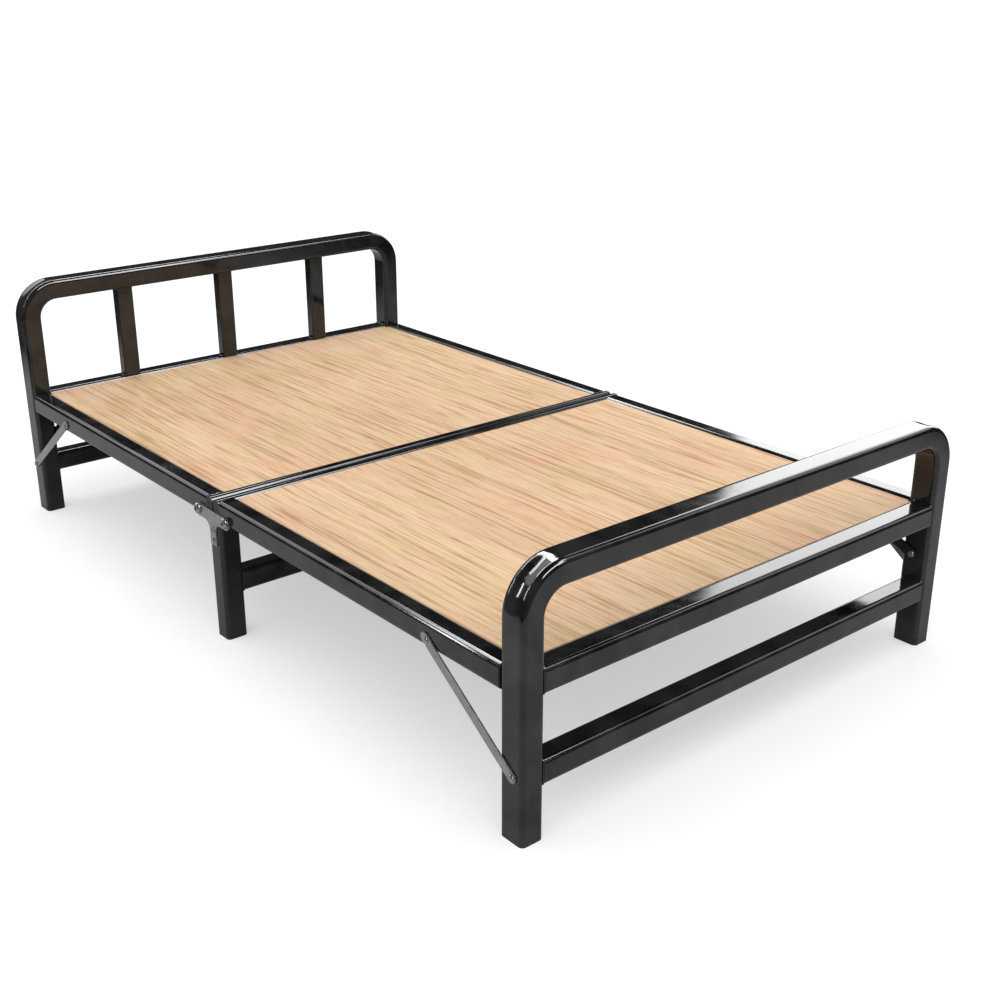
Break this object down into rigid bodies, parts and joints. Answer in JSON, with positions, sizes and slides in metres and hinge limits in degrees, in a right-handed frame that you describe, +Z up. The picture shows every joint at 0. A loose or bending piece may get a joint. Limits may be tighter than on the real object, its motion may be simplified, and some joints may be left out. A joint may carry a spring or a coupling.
{
  "type": "folding cot",
  "caption": "Low folding cot: steel tube frame, two rigid deck boards, barred headboard, bow footboard, hinged middle leg and end legs locked by hooked stays.",
  "frame": {"origin": "on the floor under the middle joint, at the centre of the cot", "axes": "+X from head to foot, +Y across the cot, +Z up"},
  "size_m": [2.05, 1.2236, 0.63],
  "materials": {
    "black_paint": "gloss black stoved paint",
    "zinc_steel": "grey zinc plating",
    "black_plastic": "moulded black plastic",
    "board_wood": "clear matt lacquer over a pale strip board"
  },
  "bodies": {
    "middle_leg": {"middle_leg_near": "black_paint", "middle_leg_far": "black_paint", "middle_low_bar": "black_paint", "middle_cap_near": "black_plastic", "middle_cap_far": "black_plastic", "hinge_plate_near": "zinc_steel", "hinge_plate_far": "zinc_steel", "hinge_plate_rivets": "zinc_steel"},
    "head_half": {"head_rail_near": "black_paint", "head_rail_far": "black_paint", "head_mid_rail": "black_paint", "head_cross_bar_1": "black_paint", "head_cross_bar_2": "black_paint", "head_cross_bar_3": "black_paint", "head_rail_plugs": "black_plastic", "head_board": "board_wood", "head_board_screws": "zinc_steel", "head_hinge_bolts": "zinc_steel", "head_stay_studs": "zinc_steel", "head_lug_near": "black_paint", "head_lug_far": "black_paint"},
    "head_end": {"head_bow": "black_paint", "head_deck_bar": "black_paint", "head_low_bar": "black_paint", "head_cap_near": "black_plastic", "head_cap_far": "black_plastic", "head_stay_rivets": "zinc_steel", "head_pivot_rivets": "zinc_steel", "head_slat_1": "black_paint", "head_slat_2": "black_paint", "head_slat_3": "black_paint"},
    "head_near_stay": {"head_stay_near": "zinc_steel"},
    "head_far_stay": {"head_stay_far": "zinc_steel"},
    "foot_half": {"foot_rail_near": "black_paint", "foot_rail_far": "black_paint", "foot_mid_rail": "black_paint", "foot_cross_bar_1": "black_paint", "foot_cross_bar_2": "black_paint", "foot_cross_bar_3": "black_paint", "foot_rail_plugs": "black_plastic", "foot_board": "board_wood", "foot_board_screws": "zinc_steel", "foot_hinge_bolts": "zinc_steel", "foot_stay_studs": "zinc_steel", "foot_lug_near": "black_paint", "foot_lug_far": "black_paint"},
    "foot_end": {"foot_bow": "black_paint", "foot_deck_bar": "black_paint", "foot_low_bar": "black_paint", "foot_cap_near": "black_plastic", "foot_cap_far": "black_plastic", "foot_stay_rivets": "zinc_steel", "foot_pivot_rivets": "zinc_steel"},
    "foot_near_stay": {"foot_stay_near": "zinc_steel"},
    "foot_far_stay": {"foot_stay_far": "zinc_steel"}
  },
  "joints": [
    {"name": "head_half_fold", "type": "hinge", "parent": "middle_leg", "child": "head_half", "pos_m": [-0.058, 0, 0.296], "axis": [0, -1, 0], "range_deg": [0, 84]},
    {"name": "foot_half_fold", "type": "hinge", "parent": "middle_leg", "child": "foot_half", "pos_m": [0.058, 0, 0.296], "axis": [0, 1, 0], "range_deg": [0, 84]},
    {"name": "head_end_fold", "type": "hinge", "parent": "head_half", "child": "head_end", "pos_m": [-0.99, 0, 0.214], "axis": [0, -1, 0], "range_deg": [0, 90]},
    {"name": "head_near_stay_swing", "type": "hinge", "parent": "head_end", "child": "head_near_stay", "pos_m": [-1, 0, 0.1325], "axis": [0, -1, 0], "range_deg": [0, 54.25]},
    {"name": "head_far_stay_swing", "type": "hinge", "parent": "head_end", "child": "head_far_stay", "pos_m": [-1, 0, 0.1325], "axis": [0, -1, 0], "range_deg": [0, 54.25]},
    {"name": "foot_end_fold", "type": "hinge", "parent": "foot_half", "child": "foot_end", "pos_m": [0.99, 0, 0.214], "axis": [0, 1, 0], "range_deg": [0, 90]},
    {"name": "foot_near_stay_swing", "type": "hinge", "parent": "foot_end", "child": "foot_near_stay", "pos_m": [1, 0, 0.1325], "axis": [0, 1, 0], "range_deg": [0, 54.25]},
    {"name": "foot_far_stay_swing", "type": "hinge", "parent": "foot_end", "child": "foot_far_stay", "pos_m": [1, 0, 0.1325], "axis": [0, 1, 0], "range_deg": [0, 54.25]}
  ],
  "couplings": [
    {"joint": "foot_half_fold", "follows": "head_half_fold", "ratio": 1},
    {"joint": "head_end_fold", "follows": "head_half_fold", "ratio": 1.0714},
    {"joint": "head_near_stay_swing", "follows": "head_half_fold", "ratio": 0.64575},
    {"joint": "head_far_stay_swing", "follows": "head_half_fold", "ratio": 0.64575},
    {"joint": "foot_end_fold", "follows": "head_half_fold", "ratio": 1.0714},
    {"joint": "foot_near_stay_swing", "follows": "head_half_fold", "ratio": 0.64575},
    {"joint": "foot_far_stay_swing", "follows": "head_half_fold", "ratio": 0.64575}
  ]
}
